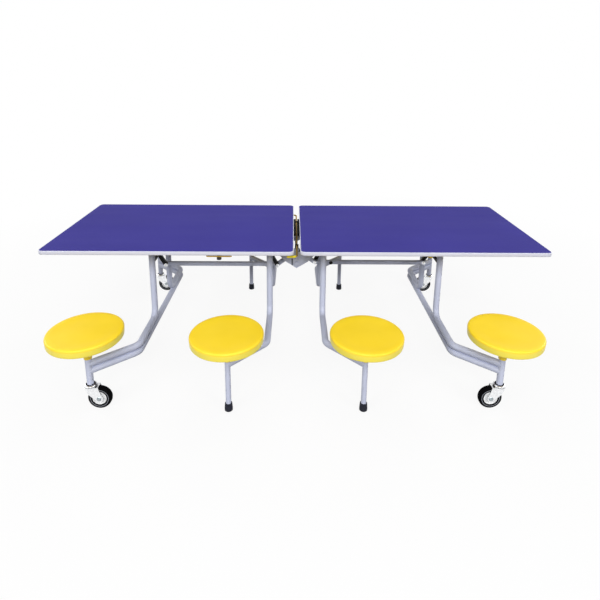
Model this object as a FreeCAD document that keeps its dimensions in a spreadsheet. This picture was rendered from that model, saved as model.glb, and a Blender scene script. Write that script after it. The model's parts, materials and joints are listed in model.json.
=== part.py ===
"""Folding dining table with eight attached swivel seats.

Two tabletop halves meet at a hinge in the middle.  Each half carries an outer leg frame on
casters and an inner leg frame on rubber feet.  Every leg tube runs down from the top, out past
the edge and on to a post with a round seat.  The left half is modelled, and the right half is
its mirror image.  X runs along the table, Y across it and Z up from the floor.
"""
import FreeCAD, Part
import math
import os
import re
import Sketcher
from FreeCAD import Placement, Rotation, Vector

# Driving sizes in millimetres; a name that ends in share is a part of another size
SIZES = {
    # Tabletop halves
    "table_length": 2440,
    "table_width": 778,
    "table_height": 681,
    "centre_gap": 32,
    "corner_radius": 25,
    "board_thickness": 18,
    "laminate_thickness": 1.2,
    "band_thickness": 3,
    "band_round": 2.5,
    # Rubber strips on the inner edges
    "bumper_length": 240,
    "bumper_thickness": 11,
    "bumper_height": 14,
    "bumper_round": 4,
    # Leg frames
    "outer_frame_x": 756,
    "inner_frame_x": 141,
    "leg_spread": 157,
    "leg_diameter": 32,
    "leg_wall": 2,
    "bend_radius": 55,
    "arm_bend_reach": 51,
    "lower_tube_height": 188,
    "tube_gap": 3.2,
    "inner_arm_height": 236,
    "crossbar_drop": 107,
    "crossbar_diameter": 20,
    # Frame pivots under the top
    "pivot_drop": 29.8,
    "pivot_bolt_diameter": 12,
    "pivot_head_diameter": 20,
    "pivot_head_height": 6,
    "leg_top_rise": 14,
    "bracket_length": 92,
    "bracket_plate": 4,
    "ear_thickness": 4,
    "ear_width": 52,
    "ear_tip_width": 30,
    "ear_tip_drop": 16,
    # Seat posts
    "outer_seat_x": 935,
    "outer_seat_reach": 201,
    "inner_seat_x": 308.5,
    "inner_seat_reach": 222,
    "outer_post_diameter": 30,
    "inner_post_diameter": 25,
    "post_wall": 2,
    "outer_post_rise": 13,
    "inner_post_rise": 4,
    "post_plug_depth": 14,
    "spindle_diameter": 18,
    # Seats
    "seat_height": 391.1,
    "seat_diameter": 328,
    "seat_rim_depth": 36.5,
    "seat_rim_round": 13,
    "seat_skirt_round": 2,
    "seat_wall": 5,
    "seat_dish": 3.5,
    "dish_flat_share": 0.55,
    "dish_crest_share": 0.84,
    "hub_top_diameter": 64,
    "hub_bottom_diameter": 34,
    "rib_thickness": 4,
    "rib_inset": 6,
    # Rubber feet
    "foot_wall": 4.2,
    "foot_flare": 1.9,
    "foot_flare_height": 33,
    "foot_height": 38,
    "foot_sole": 8,
    # Casters
    "wheel_diameter": 107,
    "wheel_width": 30,
    "tyre_depth": 21.5,
    "tyre_round": 7,
    "hub_face_recess": 6,
    "hub_rim_depth": 5,
    "hub_boss_diameter": 22,
    "axle_diameter": 10,
    "axle_head_diameter": 17,
    "axle_head_height": 6,
    "caster_trail": 39,
    "fork_plate": 3,
    "fork_top_width": 58,
    "fork_lean": 9,
    "fork_foot_width": 34,
    "fork_foot_share": 0.6,
    "swivel_diameter": 56,
    "swivel_height": 12,
    "swivel_lip": 3,
    "caster_stem_length": 52,
    # Stretchers that keep the frames upright
    "stretcher_y": 14,
    "stretcher_bar": 20,
    "lug_run": 38,
    "lug_drop": 65,
    "lug_thickness": 16,
    "lug_width": 20,
    "lug_eye_wall": 8,
    # Centre hinge
    "hinge_drop": 123.8,
    "hinge_plate": 4,
    "hinge_reach": 150,
    "hinge_tip": 10,
    "hinge_knee": 58,
    "hinge_knee_rise": 12,
    "hinge_apex_drop": 24,
    "hinge_nose": 21,
    "hinge_nose_rise": 60,
    "hinge_shoulder_rise": 83,
    "hinge_flange": 30,
    "hinge_flange_inset": 10,
    "hinge_screw_near_share": 0.3,
    "hinge_screw_far_share": 0.85,
    "hinge_shaft_diameter": 16,
    "hinge_head_diameter": 22,
    "hinge_head_height": 5,
    # Release rod in the gap
    "rod_diameter": 9,
    "rod_drop": 27.8,
    "rod_end_inset": 59,
    "rod_bend_radius": 14,
    "rod_arm": 48,
    "rod_eye_wall": 5,
    # Storage latch under the left half
    "latch_x": 394,
    "latch_y": 225,
    "latch_bar_length": 130,
    "latch_bar_width": 20,
    "latch_bar_thickness": 6,
    "latch_drop": 65.2,
    "latch_base_diameter": 26,
    "latch_flange_diameter": 44,
    "latch_flange_height": 5,
    "latch_spindle_diameter": 12,
    "latch_spindle_length": 30,
    "latch_knob_diameter": 24,
    "latch_knob_height": 16,
    # Wood screws
    "screw_diameter": 4.8,
    "screw_head_diameter": 11,
    "screw_head_height": 3,
    "screw_bite": 14,
    # Clearances
    "running_fit": 0.05,
    "seat_gap": 0.3,
    "weld_gap": 0.2,
    "side_gap": 1.5,
    "overrun": 5,
}
RIB_COUNT = 8

# Sizes that follow from the driving ones
DERIVED = {
    "half_length": "table_length / 2",
    "half_width": "table_width / 2",
    "half_gap": "centre_gap / 2",
    "top_thickness": "board_thickness + laminate_thickness",
    "underside": "table_height - top_thickness",
    "pivot_height": "underside - pivot_drop",
    "crossbar_height": "pivot_height - crossbar_drop",
    "stretcher_height": "crossbar_height - lug_drop",
    "hinge_height": "underside - hinge_drop",
    "rod_height": "underside - rod_drop",
    "leg_radius": "leg_diameter / 2",
    "crossbar_radius": "crossbar_diameter / 2",
    "arm_bend_y": "half_width + arm_bend_reach",
    "outer_seat_y": "half_width + outer_seat_reach",
    "inner_seat_y": "half_width + inner_seat_reach",
    "outer_arm_height": "lower_tube_height + leg_diameter + tube_gap",
    "outer_post_top": "outer_arm_height + leg_radius + outer_post_rise",
    "inner_post_top": "inner_arm_height + leg_radius + inner_post_rise",
    "pivot_radius": "pivot_bolt_diameter / 2",
    "pivot_hole_radius": "pivot_radius + running_fit",
    "ear_inside": "leg_radius + side_gap",
    "bracket_width": "2 * (ear_inside + ear_thickness)",
    "bracket_half": "bracket_width / 2",
    "bracket_screw_x": "(bracket_length + ear_width) / 4",
    "seat_radius": "seat_diameter / 2",
    "roof_depth": "seat_dish + seat_wall",
    "spindle_radius": "spindle_diameter / 2",
    "spindle_top": "seat_height - roof_depth - side_gap",
    "hub_bore_radius": "spindle_radius + running_fit",
    "rib_root": "(hub_bottom_diameter / 2 + hub_bore_radius) / 2",
    "inner_post_radius": "inner_post_diameter / 2",
    "outer_post_radius": "outer_post_diameter / 2",
    "foot_bore_radius": "inner_post_radius + running_fit",
    "foot_neck_radius": "foot_bore_radius + foot_wall",
    "wheel_radius": "wheel_diameter / 2",
    "wheel_half": "wheel_width / 2",
    "rim_radius": "wheel_radius - tyre_depth",
    "rim_inside": "rim_radius - hub_rim_depth",
    "rim_half": "wheel_half - side_gap",
    "web_half": "wheel_half - hub_face_recess",
    "axle_radius": "axle_diameter / 2",
    "fork_inside": "wheel_width + 2 * side_gap",
    "fork_outside": "fork_inside + 2 * fork_plate",
    "crown_height": "wheel_diameter + side_gap",
    "swivel_base": "crown_height + fork_plate",
    "swivel_top": "swivel_base + swivel_height",
    "outer_post_bottom": "swivel_top + seat_gap",
    "stem_radius": "outer_post_radius - post_wall - running_fit",
    "bar_half": "stretcher_bar / 2",
    "lug_length": "sqrt(lug_run ^ 2 + lug_drop ^ 2)",
    "lug_across_x": "lug_width / 2 * lug_drop / lug_length",
    "lug_across_z": "lug_width / 2 * lug_run / lug_length",
    "lug_eye_radius": "crossbar_radius + lug_eye_wall",
    "bar_outer_end": "outer_frame_x - lug_run + bar_half",
    "bar_inner_end": "inner_frame_x - lug_run",
    "shaft_radius": "hinge_shaft_diameter / 2",
    "shaft_hole_radius": "shaft_radius + running_fit",
    "stop_rise": "hinge_height - stretcher_height",
    "stop_length": "sqrt(bar_inner_end ^ 2 + stop_rise ^ 2)",
    "stop_mitre": "bar_half * stop_rise / (stop_length + bar_inner_end)",
    "stop_left_share": "(shaft_radius + seat_gap) / stop_length",
    "stop_end_x": "bar_inner_end * stop_left_share",
    "stop_end_z": "hinge_height - stop_rise * stop_left_share",
    "stop_across_x": "bar_half * stop_rise / stop_length",
    "stop_across_z": "bar_half * bar_inner_end / stop_length",
    "hinge_top": "underside - hinge_plate",
    "hinge_apex": "hinge_height - hinge_apex_drop",
    "hinge_low": "hinge_top - hinge_tip",
    "hinge_knee_height": "hinge_height + hinge_knee_rise",
    "hinge_nose_low": "hinge_apex + hinge_nose * (hinge_knee_height - hinge_apex) / hinge_knee",
    "hinge_nose_top": "hinge_height + hinge_nose_rise",
    "hinge_shoulder": "hinge_height + hinge_shoulder_rise",
    "left_plate_y": "leg_spread + bracket_half + pivot_head_height + side_gap",
    "right_plate_y": "left_plate_y + hinge_plate + weld_gap",
    "shaft_half": "right_plate_y + hinge_plate + seat_gap",
    "hinge_screw_y": "left_plate_y + (hinge_plate + hinge_flange) / 2",
    "hinge_screw_near": "hinge_reach * hinge_screw_near_share",
    "hinge_screw_far": "hinge_reach * hinge_screw_far_share",
    "rod_radius": "rod_diameter / 2",
    "rod_hole_radius": "rod_radius + running_fit",
    "rod_eye_radius": "rod_radius + rod_eye_wall",
    "rod_eye_top": "rod_height + rod_eye_radius",
    "latch_bar_top": "underside - latch_drop",
    "latch_spindle_radius": "latch_spindle_diameter / 2",
    "latch_bore_radius": "latch_spindle_radius + running_fit",
    "latch_half": "latch_bar_length / 2",
    "latch_side": "latch_bar_width / 2",
    "screw_radius": "screw_diameter / 2",
    "screw_hole_radius": "screw_radius + weld_gap",
    "screw_head_radius": "screw_head_diameter / 2",
}

ACROSS_X = Vector(1, 0, 0)
ACROSS_Y = Vector(0, 1, 0)
ALONG_Y = Rotation(ACROSS_X, -90)

doc = FreeCAD.newDocument("stool_table")
sheet = doc.addObject("Spreadsheet::Sheet", "sizes")
for row, (alias, size) in enumerate(SIZES.items(), start=1):
    sheet.set(f"A{row}", alias)
    sheet.set(f"B{row}", str(size))
    sheet.setAlias(f"B{row}", alias)
doc.recompute()

nodes = {}


def formula(words):
    """Turn an expression of named sizes into one on the sheet's cells."""

    def cell(match):
        name = match.group()
        if name in DERIVED:
            return f"({formula(DERIVED[name])})"
        return f"sizes.{name}" if name in SIZES else name

    return re.sub("[a-z_]+", cell, words)


def value(words):
    """Read the present value of an expression of named sizes."""
    return float(sheet.evalExpression(formula(words)))


def point(x, y, z="0"):
    return Vector(value(x), value(y), value(z))


def bind(thing, **properties):
    """Tie properties of an object to expressions of named sizes."""
    for name, words in properties.items():
        thing.setExpression(name, formula(words))
    return thing


def put(thing, x="0", y="0", z="0", turn=Rotation()):
    """Place an object by expressions of named sizes."""
    thing.Placement = Placement(Vector(), turn)
    for axis, words in zip("xyz", (x, y, z)):
        thing.setExpression(f"Placement.Base.{axis}", formula(words))
    return thing


def keep(thing, label):
    thing.Label = label
    nodes[label] = thing


def mirrored(source, normal):
    image = doc.addObject("Part::Mirroring", "Mirror")
    image.Source = source
    image.Normal = normal
    return image


def group(parts):
    cluster = doc.addObject("Part::Compound", "Group")
    cluster.Links = parts
    return cluster


def front_and_rear(*front):
    return group([*front, *(mirrored(part, ACROSS_Y) for part in front)])


def both_halves(left, name):
    """Keep a left piece and its mirror image on the right half."""
    keep(left, f"left_{name}")
    keep(mirrored(left, ACROSS_X), f"right_{name}")


def four_corners(left_front, front_name, rear_name):
    """Keep a left front piece and its images at the other three corners."""
    left_rear = mirrored(left_front, ACROSS_Y)
    both_halves(left_front, front_name)
    both_halves(left_rear, rear_name)


def cut(base, tool):
    rest = doc.addObject("Part::Cut", "Cut")
    rest.Base = base
    rest.Tool = tool
    return rest


def solid_shape(shape):
    """Hold a shape that the part's own code has made from the sheet's sizes."""
    feature = doc.addObject("Part::Feature", "Formed")
    feature.Shape = shape
    feature.Placement = Placement()
    return feature


def round_bar(radius, length, x, y, z, turn=Rotation()):
    """Plain cylinder that stands on its lower end, or lies along Y."""
    bar = doc.addObject("Part::Cylinder", "Bar")
    return put(bind(bar, Radius=radius, Height=length), x, y, z, turn)


def new_body(name):
    return doc.addObject("PartDesign::Body", name)


def sketch_on(body, role, height="0"):
    """Start a sketch on one of a body's own planes, or at a height above it."""
    plane = next(feature for feature in body.Origin.OriginFeatures if feature.Role == role)
    sketch = body.newObject("Sketcher::SketchObject", "Sketch")
    sketch.AttachmentSupport = (plane, "")
    sketch.MapMode = "FlatFace"
    sketch.setExpression("AttachmentOffset.Base.z", formula(height))
    return sketch


def tie(sketch, kind, *places, words):
    """Constrain places of a sketch to an expression of named sizes."""
    number = sketch.addConstraint(Sketcher.Constraint(kind, *places, value(words)))
    sketch.setExpression(f"Constraints[{number}]", formula(words))


def outline(body, role, corners, height="0"):
    """Sketch a closed run of straight lines through corners given in named sizes."""
    sketch = sketch_on(body, role, height)
    spots = [point(x, y) for x, y in corners]
    for start, end in zip(spots, spots[1:] + spots[:1]):
        sketch.addGeometry(Part.LineSegment(start, end), False)
    for index, (x, y) in enumerate(corners):
        before = (index or len(corners)) - 1
        sketch.addConstraint(Sketcher.Constraint("Coincident", before, 2, index, 1))
        tie(sketch, "DistanceX", -1, 1, index, 1, words=x)
        tie(sketch, "DistanceY", -1, 1, index, 1, words=y)
    return sketch


def circles(body, role, radius, centres, height="0"):
    """Sketch circles of one radius about centres given in named sizes."""
    sketch = sketch_on(body, role, height)
    for index, (x, y) in enumerate(centres):
        sketch.addGeometry(Part.Circle(point(x, y), Vector(0, 0, 1), value(radius)), False)
        tie(sketch, "DistanceX", -1, 1, index, 3, words=x)
        tie(sketch, "DistanceY", -1, 1, index, 3, words=y)
        tie(sketch, "Radius", index, words=radius)
    return sketch


def rectangle(low_x, low_y, high_x, high_y):
    return [(low_x, low_y), (high_x, low_y), (high_x, high_y), (low_x, high_y)]


def extruded(body, kind, sketch, length, symmetric=True):
    """Add a Pad or Pocket of a sketch, to both sides of its plane or to the upper one."""
    feature = body.newObject(f"PartDesign::{kind}", kind)
    feature.Profile = sketch
    feature.SideType = "Symmetric" if symmetric else "One side"
    bind(feature, Length=length)
    doc.recompute()
    return feature


def turned(body, corners):
    """Revolve an outline of radii and heights about the upright axis."""
    sketch = outline(body, "XZ_Plane", corners)
    feature = body.newObject("PartDesign::Revolution", "Revolution")
    feature.Profile = sketch
    feature.ReferenceAxis = (sketch, ["V_Axis"])
    feature.Angle = 360
    doc.recompute()
    return body


def rounded(body, radius, chosen):
    """Fillet those edges of a body that a test on the edge picks."""
    base = body.Tip
    edges = [f"Edge{n}" for n, edge in enumerate(base.Shape.Edges, start=1) if chosen(edge)]
    feature = body.newObject("PartDesign::Fillet", "Fillet")
    feature.Base = (base, edges)
    bind(feature, Radius=radius)
    doc.recompute()
    return body


def is_upright(edge):
    return edge.BoundBox.ZLength > max(edge.BoundBox.XLength, edge.BoundBox.YLength)


def ring_at(radius, height):
    """Make a test for round edges of a given radius at a given height."""
    wide, high, close = value(radius), value(height), value("running_fit")

    def matches(edge):
        box = edge.BoundBox
        return max(abs(box.ZMin - high), abs(box.ZMax - high), abs(box.XMax - wide)) < close

    return matches


def bent_path(corners, bend):
    """Join straight runs through corner points by tangent bends of one radius."""
    edges = []
    start = corners[0]
    for before, corner, after in zip(corners, corners[1:], corners[2:]):
        back = (before - corner).normalize()
        ahead = (after - corner).normalize()
        half_angle = back.getAngle(ahead) / 2
        tangent = bend / math.tan(half_angle)
        middle = corner + (back + ahead).normalize() * (bend / math.sin(half_angle) - bend)
        first, last = corner + back * tangent, corner + ahead * tangent
        edges.append(Part.LineSegment(start, first).toShape())
        edges.append(Part.Arc(first, middle, last).toShape())
        start = last
    edges.append(Part.LineSegment(start, corners[-1]).toShape())
    return Part.Wire(edges)


def bent_rod(corners, radius, bend):
    """Sweep a round section along straight runs and bends."""
    ring = Part.Wire(Part.makeCircle(radius, corners[0], corners[1] - corners[0]))
    return bent_path(corners, bend).makePipeShell([ring], True, False)


def bent_tube(corners):
    """Frame tube of the leg's diameter and wall through corner points."""
    bend = value("bend_radius")
    outside = bent_rod(corners, value("leg_radius"), bend)
    return outside.cut(bent_rod(corners, value("leg_radius - leg_wall"), bend))


def post_space(x, y, radius):
    """Upright cylinder that a post fills, to cope a tube's end against."""
    return Part.makeCylinder(value(radius), value("table_height"), point(x, y))


# Tabletop halves: board, laminate, edge band and rubber strip


def slab(name, inset, thickness, height, edge_round=None):
    """Half of the tabletop with rounded corners, drawn in from its edge by an inset."""
    body = new_body(name)
    corners = rectangle(
        f"{inset} - half_length", f"{inset} - half_width",
        f"-half_gap - {inset}", f"half_width - {inset}",
    )
    extruded(body, "Pad", outline(body, "XY_Plane", corners), thickness, symmetric=False)
    rounded(body, f"corner_radius - {inset}", is_upright)
    if edge_round:
        rounded(body, edge_round, lambda edge: not is_upright(edge))
    return put(body, z=height)


def screw(x, y, plate):
    """Wood screw through a plate and up into the board, about the board's underside."""
    head = f"-{plate} - screw_head_height"
    body = turned(new_body("Screw"), [
        ("0", head),
        ("screw_head_radius", head),
        ("screw_head_radius", f"-{plate}"),
        ("screw_radius", f"-{plate}"),
        ("screw_radius", "screw_bite"),
        ("0", "screw_bite"),
    ])
    return put(body, x, y, "underside")


def pilot_hole(x, y):
    depth = "screw_bite + weld_gap + overrun"
    return round_bar("screw_hole_radius", depth, x, y, "underside - overrun")


frames = ("outer_frame_x", "inner_frame_x")
bracket_screws = [(f"{side} bracket_screw_x - {frame}", "-leg_spread") for frame in frames for side in "+-"]
hinge_screws = [(f"-{reach}", "-hinge_screw_y") for reach in ("hinge_screw_near", "hinge_screw_far")]
screws = front_and_rear(
    *(screw(x, y, "bracket_plate") for x, y in bracket_screws),
    *(screw(x, y, "hinge_plate") for x, y in hinge_screws),
)
pilot_holes = front_and_rear(*(pilot_hole(x, y) for x, y in bracket_screws + hinge_screws))

board = slab("Board", "band_thickness", "board_thickness", "underside")
laminate = slab("Laminate", "band_thickness", "laminate_thickness", "underside + board_thickness")
band_outside = slab("BandOutside", "0", "top_thickness", "underside", "band_round")
band_inside = slab("BandInside", "band_thickness", "top_thickness", "underside")
both_halves(cut(board, pilot_holes), "top_board")
both_halves(laminate, "top_laminate")
both_halves(cut(band_outside, band_inside), "edge_band")
both_halves(screws, "bracket_screws")


def edge_bumper():
    """Rubber strip on the inner edge of a half, at the middle of its width."""
    body = new_body("Bumper")
    face = "bumper_thickness - half_gap"
    corners = rectangle("-half_gap", "-bumper_length / 2", face, "bumper_length / 2")
    extruded(body, "Pad", outline(body, "XY_Plane", corners), "bumper_height", symmetric=False)
    middle = value("bumper_thickness / 2 - half_gap")
    rounded(body, "bumper_round", lambda edge: is_upright(edge) and edge.BoundBox.XMin > middle)
    return put(body, z="underside + (top_thickness - bumper_height) / 2")


both_halves(edge_bumper(), "edge_bumper")

# Frame pivots: forked brackets under the board, and the bolts that the legs turn on


def pivot_bracket(frame_x):
    """Base plate with two ears, about the pivot as its origin."""
    body = new_body("Bracket")
    base = "pivot_drop - bracket_plate"
    half, ear, tip = "bracket_length / 2", "ear_width / 2", "ear_tip_width / 2"
    side = [
        (f"-{half}", "pivot_drop"), (f"-{half}", base), (f"-{ear}", base), (f"-{tip}", "-ear_tip_drop"),
        (tip, "-ear_tip_drop"), (ear, base), (half, base), (half, "pivot_drop"),
    ]
    extruded(body, "Pad", outline(body, "XZ_Plane", side), "bracket_width")
    slot = rectangle(f"-{half} - overrun", "-ear_tip_drop - overrun", f"{half} + overrun", base)
    extruded(body, "Pocket", outline(body, "XZ_Plane", slot), "2 * ear_inside")
    eye = circles(body, "XZ_Plane", "pivot_hole_radius", [("0", "0")])
    extruded(body, "Pocket", eye, "bracket_width + overrun")
    holes = [("-bracket_screw_x", "0"), ("bracket_screw_x", "0")]
    drilled = circles(body, "XY_Plane", "screw_hole_radius", holes, base)
    extruded(body, "Pocket", drilled, "4 * bracket_plate")
    return put(body, f"-{frame_x}", "-leg_spread", "pivot_height")


def headed_pin(radius, half, head_radius, head_height, x, y, z):
    """Pin along Y with a head at each end."""
    end = f"{half} + {head_height}"
    body = turned(new_body("Pin"), [
        ("0", f"-({end})"),
        (head_radius, f"-({end})"),
        (head_radius, f"-({half})"),
        (radius, f"-({half})"),
        (radius, half),
        (head_radius, half),
        (head_radius, end),
        ("0", end),
    ])
    return put(body, x, y, z, ALONG_Y)


def pivot_bolt(frame_x):
    head = "pivot_head_diameter / 2"
    return headed_pin(
        "pivot_radius", "bracket_half", head, "pivot_head_height",
        f"-{frame_x}", "-leg_spread", "pivot_height",
    )


both_halves(front_and_rear(*(pivot_bracket(frame_x) for frame_x in frames)), "pivot_brackets")
both_halves(front_and_rear(*(pivot_bolt(frame_x) for frame_x in frames)), "pivot_bolts")

# Leg frames: bent tubes, posts and cross bars


def leg_tube(frame_x, arm_height, seat_x, seat_y, post_radius):
    """Tube from its pivot down, out past the edge of the top and on to a seat post."""
    tube = bent_tube([
        point(f"-{frame_x}", "-leg_spread", "pivot_height + leg_top_rise"),
        point(f"-{frame_x}", "-leg_spread", arm_height),
        point(f"-{frame_x}", "-arm_bend_y", arm_height),
        point(f"-{seat_x}", f"-{seat_y}", arm_height),
    ])
    start = point(f"-{frame_x}", "-leg_spread - leg_diameter", "pivot_height")
    pivot = Part.makeCylinder(value("pivot_hole_radius"), value("2 * leg_diameter"), start, ACROSS_Y)
    return solid_shape(tube.cut([post_space(f"-{seat_x}", f"-{seat_y}", post_radius), pivot]))


def lower_tube():
    """Tube from the front post to the rear one, under the outer frame's leg tubes."""
    front = [
        point("-outer_seat_x", "-outer_seat_y", "lower_tube_height"),
        point("-outer_frame_x", "-arm_bend_y", "lower_tube_height"),
    ]
    rear = [Vector(spot.x, -spot.y, spot.z) for spot in reversed(front)]
    posts = [post_space("-outer_seat_x", f"{side} outer_seat_y", "outer_post_radius") for side in "+-"]
    return solid_shape(bent_tube(front + rear).cut(posts))


def seat_post(radius, bottom, top, x, y):
    """Tube with a plugged top and the spindle that a seat turns on."""
    body = turned(new_body("Post"), [
        (f"{radius} - post_wall", bottom),
        (radius, bottom),
        (radius, top),
        ("spindle_radius", top),
        ("spindle_radius", "spindle_top"),
        ("0", "spindle_top"),
        ("0", f"{top} - post_plug_depth"),
        (f"{radius} - post_wall", f"{top} - post_plug_depth"),
    ])
    return put(body, f"-{x}", f"-{y}")


def crossbar(frame_x):
    """Round bar between the two legs of a frame, coped to their sides."""
    bar = round_bar(
        "crossbar_radius", "2 * leg_spread", f"-{frame_x}", "-leg_spread", "crossbar_height", ALONG_Y
    )
    legs = [
        round_bar("leg_radius", "pivot_height", f"-{frame_x}", f"{side} leg_spread", "0") for side in "+-"
    ]
    return cut(bar, group(legs))


def rubber_foot():
    body = turned(new_body("Foot"), [
        ("0", "0"),
        ("foot_neck_radius + foot_flare", "0"),
        ("foot_neck_radius + foot_flare", "foot_flare_height / 2"),
        ("foot_neck_radius", "foot_flare_height"),
        ("foot_neck_radius", "foot_height"),
        ("foot_bore_radius", "foot_height"),
        ("foot_bore_radius", "foot_sole"),
        ("0", "foot_sole"),
    ])
    return put(body, "-inner_seat_x", "-inner_seat_y")


both_halves(lower_tube(), "outer_lower_tube")
for frame, post_bottom in (("outer", "outer_post_bottom"), ("inner", "foot_sole")):
    seat_x, seat_y, radius = f"{frame}_seat_x", f"{frame}_seat_y", f"{frame}_post_radius"
    leg = leg_tube(f"{frame}_frame_x", f"{frame}_arm_height", seat_x, seat_y, radius)
    post = seat_post(radius, post_bottom, f"{frame}_post_top", seat_x, seat_y)
    both_halves(front_and_rear(leg), f"{frame}_leg_tubes")
    both_halves(front_and_rear(post), f"{frame}_posts")
    both_halves(crossbar(f"{frame}_frame_x"), f"{frame}_crossbar")
both_halves(front_and_rear(rubber_foot()), "inner_feet")

# Seats: moulded discs with a rounded rim, a ribbed underside and a hub on the spindle


def seat(x, y, post_top):
    body = new_body("Seat")
    hub = f"-(seat_height - {post_top} - seat_gap)"
    turned(body, [
        ("0", "-seat_dish"),
        ("seat_radius * dish_flat_share", "-seat_dish"),
        ("seat_radius * dish_crest_share", "0"),
        ("seat_radius", "0"),
        ("seat_radius", "-seat_rim_depth"),
        ("seat_radius - seat_wall", "-seat_rim_depth"),
        ("seat_radius - seat_wall", "-roof_depth"),
        ("hub_top_diameter / 2", "-roof_depth"),
        ("hub_bottom_diameter / 2", hub),
        ("hub_bore_radius", hub),
        ("hub_bore_radius", "-roof_depth"),
        ("0", "-roof_depth"),
    ])
    rounded(body, "seat_rim_round", ring_at("seat_radius", "0"))
    rounded(body, "seat_skirt_round", ring_at("seat_radius", "-seat_rim_depth"))
    roof, edge = "seat_wall / 2 - roof_depth", "seat_radius - seat_wall / 2"
    rib = outline(body, "XZ_Plane", [
        ("rib_root", roof),
        (edge, roof),
        (edge, "rib_inset - seat_rim_depth"),
        ("rib_root", f"({hub} - roof_depth) / 2"),
    ])
    first_rib = extruded(body, "Pad", rib, "rib_thickness")
    ribs = body.newObject("PartDesign::PolarPattern", "Ribs")
    upright = next(feature for feature in body.Origin.OriginFeatures if feature.Role == "Z_Axis")
    ribs.Originals = [first_rib]
    ribs.Axis = (upright, [""])
    ribs.Angle = 360
    ribs.Occurrences = RIB_COUNT
    body.Tip = ribs
    return put(body, f"-{x}", f"-{y}", "seat_height")


for frame in ("outer", "inner"):
    left_front = seat(f"{frame}_seat_x", f"{frame}_seat_y", f"{frame}_post_top")
    four_corners(left_front, f"{frame}_front_seat", f"{frame}_rear_seat")

# Casters: swivel fork with its axle, wheel hub and tyre, with the wheel trailing inwards


def caster_fork():
    body = new_body("Fork")
    left, right = (f"fork_lean {side} fork_top_width / 2" for side in "-+")
    foot = "fork_foot_width / 2"
    toe, low = f"{foot} * fork_foot_share", f"wheel_radius - {foot}"
    leg = [
        (left, "swivel_base"), (f"caster_trail - {foot}", "wheel_radius"),
        (f"caster_trail - {toe}", low), (f"caster_trail + {toe}", low),
        (f"caster_trail + {foot}", "wheel_radius"), (right, "swivel_base"),
    ]
    axle = [("caster_trail", "wheel_radius")]
    extruded(body, "Pad", outline(body, "XZ_Plane", leg), "fork_outside")
    heads = circles(body, "XZ_Plane", "axle_head_diameter / 2", axle)
    extruded(body, "Pad", heads, "fork_outside + 2 * axle_head_height")
    front = "caster_trail + wheel_radius + overrun"
    space = rectangle(f"{left} - overrun", "-overrun", front, "crown_height")
    extruded(body, "Pocket", outline(body, "XZ_Plane", space), "fork_inside")
    extruded(body, "Pad", circles(body, "XZ_Plane", "axle_radius", axle), "fork_outside")
    turned(body, [
        ("0", "swivel_base"),
        ("swivel_diameter / 2", "swivel_base"),
        ("swivel_diameter / 2", "swivel_base + swivel_height / 2"),
        ("outer_post_radius + swivel_lip", "swivel_top"),
        ("stem_radius", "swivel_top"),
        ("stem_radius", "swivel_top + caster_stem_length"),
        ("0", "swivel_top + caster_stem_length"),
    ])
    return put(body, "-outer_seat_x", "-outer_seat_y")


def on_axle(body):
    return put(body, "caster_trail - outer_seat_x", "-outer_seat_y", "wheel_radius", ALONG_Y)


def wheel_hub():
    inner_side = [
        ("axle_radius + running_fit", "wheel_half"), ("hub_boss_diameter / 2", "wheel_half"),
        ("hub_boss_diameter / 2", "web_half"), ("rim_inside", "web_half"),
        ("rim_inside", "rim_half"), ("rim_radius", "rim_half"),
    ]
    outer_side = [(radius, f"-{height}") for radius, height in reversed(inner_side)]
    return on_axle(turned(new_body("Hub"), inner_side + outer_side))


def tyre():
    bore = "rim_radius + running_fit"
    body = turned(new_body("Tyre"), rectangle(bore, "-wheel_half", "wheel_radius", "wheel_half"))
    rounded(body, "tyre_round", ring_at("wheel_radius", "wheel_half"))
    rounded(body, "tyre_round", ring_at("wheel_radius", "-wheel_half"))
    return on_axle(body)


four_corners(caster_fork(), "front_caster_fork", "rear_caster_fork")
four_corners(wheel_hub(), "front_wheel_hub", "rear_wheel_hub")
four_corners(tyre(), "front_tyre", "rear_tyre")

# Stretchers: a bar between the two frames of a half, hung by lugs from their cross bars


def stretcher():
    """Bar with a stop arm that rises to the hinge shaft."""
    body = new_body("Stretcher")
    low, high = "stretcher_height - bar_half", "stretcher_height + bar_half"
    side = [
        ("-bar_outer_end", low),
        ("stop_mitre - bar_inner_end", low),
        ("stop_across_x - stop_end_x", "stop_end_z - stop_across_z"),
        ("-stop_across_x - stop_end_x", "stop_end_z + stop_across_z"),
        ("-stop_mitre - bar_inner_end", high),
        ("-bar_outer_end", high),
    ]
    extruded(body, "Pad", outline(body, "XZ_Plane", side), "stretcher_bar")
    return put(body, y="-stretcher_y")


def stretcher_lug(frame_x):
    """Flat lug from a frame's cross bar down to the bar's end, about the cross bar."""
    body = new_body("Lug")
    plate = [
        ("lug_across_x", "lug_across_z"),
        ("lug_run + lug_across_x", "lug_across_z - lug_drop"),
        ("lug_run - lug_across_x", "-lug_across_z - lug_drop"),
        ("-lug_across_x", "-lug_across_z"),
    ]
    extruded(body, "Pad", outline(body, "XZ_Plane", plate), "lug_thickness")
    eye = [("0", "0")]
    extruded(body, "Pad", circles(body, "XZ_Plane", "lug_eye_radius", eye), "lug_thickness")
    bore = circles(body, "XZ_Plane", "crossbar_radius + running_fit", eye)
    extruded(body, "Pocket", bore, "lug_thickness + overrun")
    return put(body, f"-{frame_x}", "-stretcher_y - bar_half - lug_thickness / 2", "crossbar_height")


def half_turn(left, name):
    """Keep a left piece, and on the right the same piece turned half round the table's middle."""
    keep(left, f"left_{name}")
    keep(mirrored(mirrored(left, ACROSS_X), ACROSS_Y), f"right_{name}")


half_turn(stretcher(), "stretcher")
half_turn(group([stretcher_lug(frame_x) for frame_x in frames]), "stretcher_lugs")

# Centre hinge: plates down from each half, overlapping on one long shaft


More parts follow.
